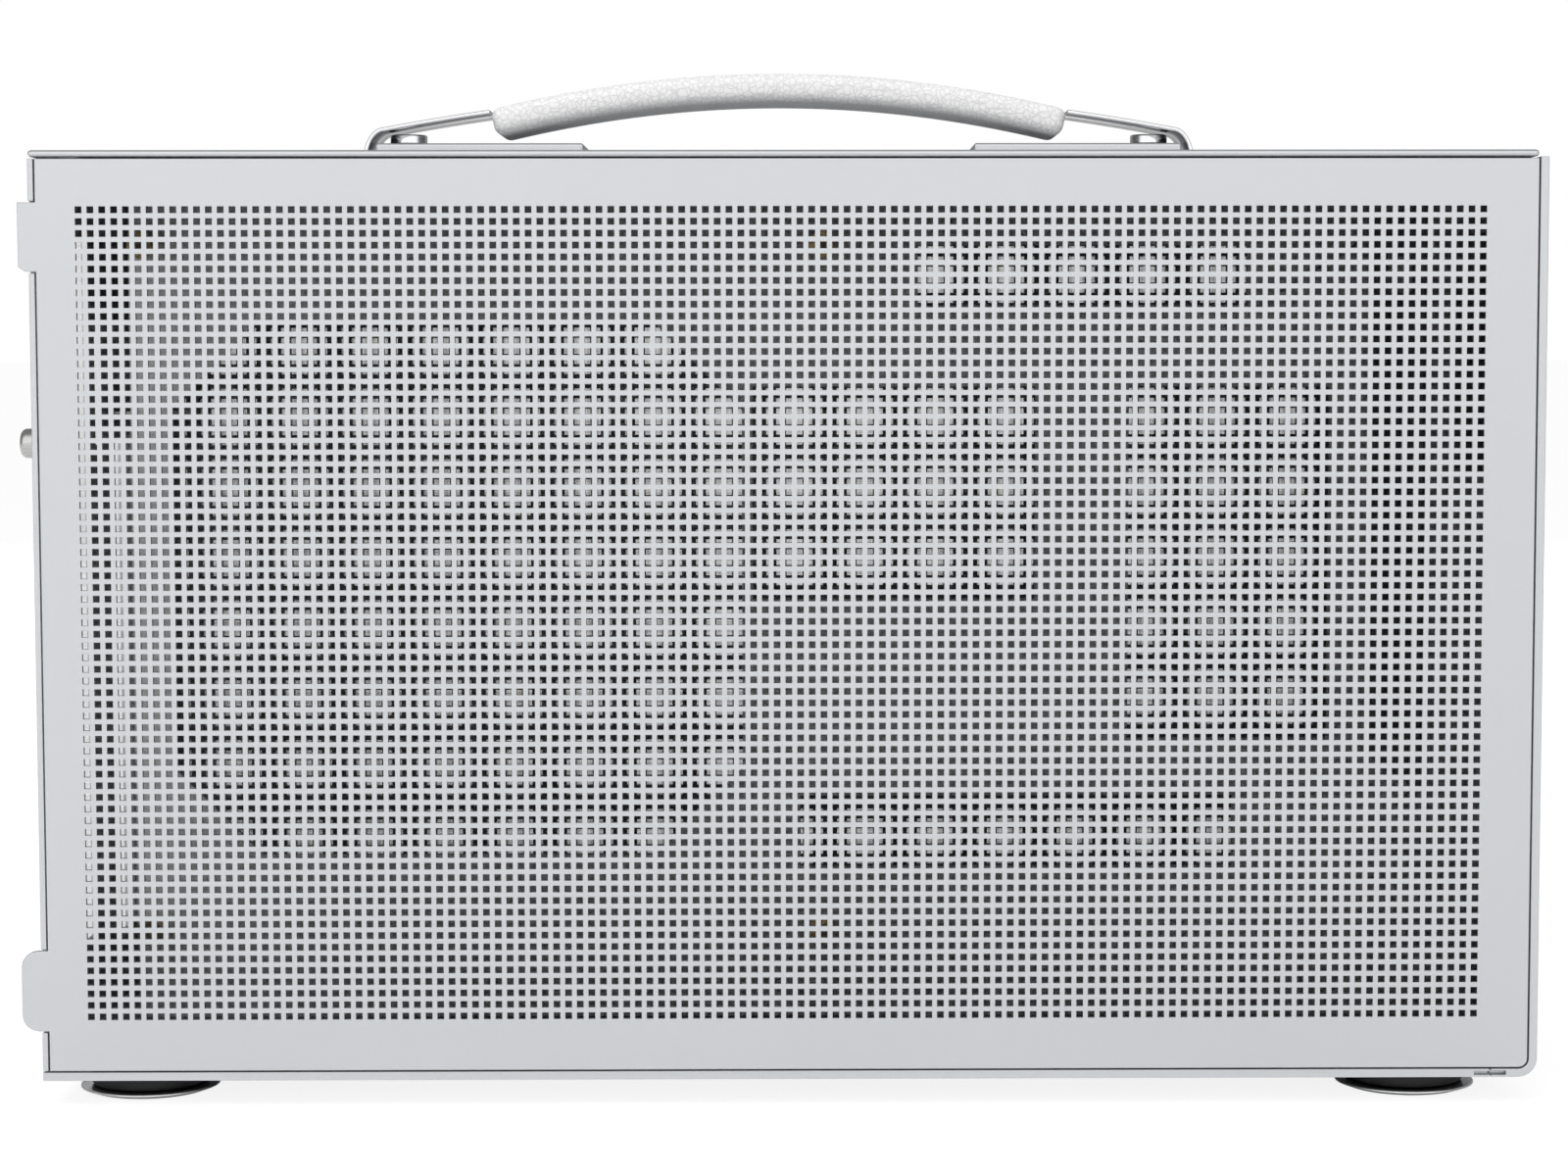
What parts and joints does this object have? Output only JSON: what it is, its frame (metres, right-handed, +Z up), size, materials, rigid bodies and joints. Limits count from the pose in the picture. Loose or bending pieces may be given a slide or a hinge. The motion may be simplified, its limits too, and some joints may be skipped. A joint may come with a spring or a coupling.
{
  "type": "computer case",
  "caption": "Compact computer case with perforated side panels that pull off, round feet and a leather strap handle on top.",
  "frame": {"origin": "middle of the whole object's footprint, on the surface that the feet stand on", "axes": "+X along the case to its front, -Y out of the motherboard side, +Z up"},
  "size_m": [0.3272, 0.125, 0.225],
  "materials": {
    "anodised_sheet": "satin bead-blasted anodising, cool light silver",
    "frame_alloy": "dark grey coated sheet",
    "polished_trim": "polished",
    "screw_steel": "turned and plated",
    "standoff_brass": "turned",
    "black_moulding": "fine spark texture",
    "circuit_board": "solder mask",
    "foot_rubber": "matt",
    "filter_mesh": "fine black nylon mesh, half open",
    "grip_leather": "light grey grained leather"
  },
  "bodies": {
    "chassis": {"bottom_plate": "anodised_sheet", "control_board": "circuit_board", "far_bottom_rail": "frame_alloy", "far_top_rail": "frame_alloy", "foot_pad_1": "foot_rubber", "foot_pad_2": "foot_rubber", "foot_pad_3": "foot_rubber", "foot_pad_4": "foot_rubber", "foot_ring_1": "polished_trim", "foot_ring_2": "polished_trim", "foot_ring_3": "polished_trim", "foot_ring_4": "polished_trim", "front_plate": "anodised_sheet", "handle_band_front": "polished_trim", "handle_band_rear": "polished_trim", "handle_base_front": "anodised_sheet", "handle_base_rear": "anodised_sheet", "handle_boss_front": "polished_trim", "handle_boss_rear": "polished_trim", "mains_inlet": "black_moulding", "motherboard_tray": "frame_alloy", "near_bottom_rail": "frame_alloy", "near_top_rail": "frame_alloy", "power_button_ring": "polished_trim", "power_switch": "black_moulding", "psu_bracket": "frame_alloy", "rear_plate": "anodised_sheet", "rear_screw_far": "screw_steel", "rear_screw_near": "screw_steel", "riser_bracket": "frame_alloy", "riser_card": "circuit_board", "riser_slot": "black_moulding", "slot_clamp": "screw_steel", "slot_cover": "screw_steel", "slot_shelf": "frame_alloy", "standoff_1": "standoff_brass", "standoff_2": "standoff_brass", "standoff_3": "standoff_brass", "standoff_4": "standoff_brass", "top_plate": "anodised_sheet", "usb_a_socket": "screw_steel", "usb_c_socket": "screw_steel"},
    "near_panel": {"near_ball_stud_1": "screw_steel", "near_ball_stud_2": "screw_steel", "near_ball_stud_3": "screw_steel", "near_ball_stud_4": "screw_steel", "near_dust_filter": "filter_mesh", "near_panel": "anodised_sheet"},
    "far_panel": {"far_ball_stud_1": "screw_steel", "far_ball_stud_2": "screw_steel", "far_ball_stud_3": "screw_steel", "far_ball_stud_4": "screw_steel", "far_dust_filter": "filter_mesh", "far_panel": "anodised_sheet"},
    "power_button": {"power_button": "anodised_sheet"},
    "handle_grip": {"handle_grip": "grip_leather"},
    "thumbscrew": {"thumbscrew": "screw_steel"}
  },
  "joints": [
    {"name": "near_panel_pull", "type": "slide", "parent": "chassis", "child": "near_panel", "axis": [0, -1, 0], "range_m": [0, 0.15]},
    {"name": "far_panel_pull", "type": "slide", "parent": "chassis", "child": "far_panel", "axis": [0, 1, 0], "range_m": [0, 0.15]},
    {"name": "power_button_press", "type": "slide", "parent": "chassis", "child": "power_button", "axis": [-1, 0, 0], "range_m": [0, 0.0012], "stiffness_N_per_m": 600},
    {"name": "handle_lift", "type": "slide", "parent": "chassis", "child": "handle_grip", "axis": [0, 0, 1], "range_m": [0, 0.004], "stiffness_N_per_m": 1500, "deforming": ["handle_band_front", "handle_band_rear"]},
    {"name": "thumbscrew_turn", "type": "hinge", "parent": "chassis", "child": "thumbscrew", "pos_m": [-0.1514, 0.03486, 0.149], "axis": [0, 0, 1], "continuous": true}
  ]
}
